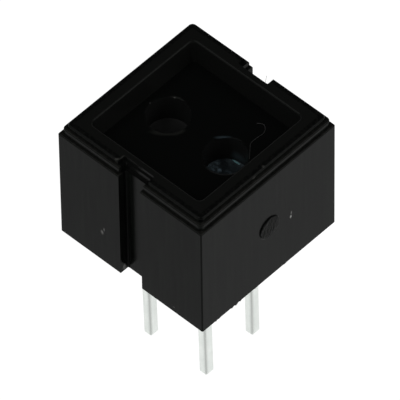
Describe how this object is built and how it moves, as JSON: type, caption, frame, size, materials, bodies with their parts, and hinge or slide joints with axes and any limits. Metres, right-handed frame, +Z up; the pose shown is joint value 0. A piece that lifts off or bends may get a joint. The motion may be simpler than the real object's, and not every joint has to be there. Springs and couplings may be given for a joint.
{
  "type": "reflective optical sensor",
  "caption": "Square black moulded block with a stepped rim, a shallow pocket holding an emitter window and a detector window side by side, and straight leads below.",
  "frame": {"origin": "middle of the body's underside, in the plane that seats on a circuit board, midway between the four leads", "axes": "+Z up out of the windows, opposite to the leads; +X from the detector window to the emitter window; +Y towards the leads that take the bond wires"},
  "size_m": [0.0071, 0.007, 0.0119],
  "materials": {
    "black_moulding": "satin black moulding with fine tool marks",
    "blue_resin": "clear cast resin with a blue tint",
    "dark_resin": "black cast resin that blocks daylight",
    "tinned_lead": "matt tin plate",
    "chip": "polished semiconductor die",
    "bond_wire": "bright drawn wire",
    "potting": "black potting, slightly glossy"
  },
  "bodies": {
    "root": {"housing": "black_moulding", "emitter_resin": "blue_resin", "detector_resin": "dark_resin", "emitter_chip": "chip", "detector_chip": "chip", "emitter_wire": "bond_wire", "detector_wire": "bond_wire", "diode_anode_lead": "tinned_lead", "diode_cathode_lead": "tinned_lead", "transistor_collector_lead": "tinned_lead", "transistor_emitter_lead": "tinned_lead", "base_seal": "potting"}
  },
  "joints": []
}
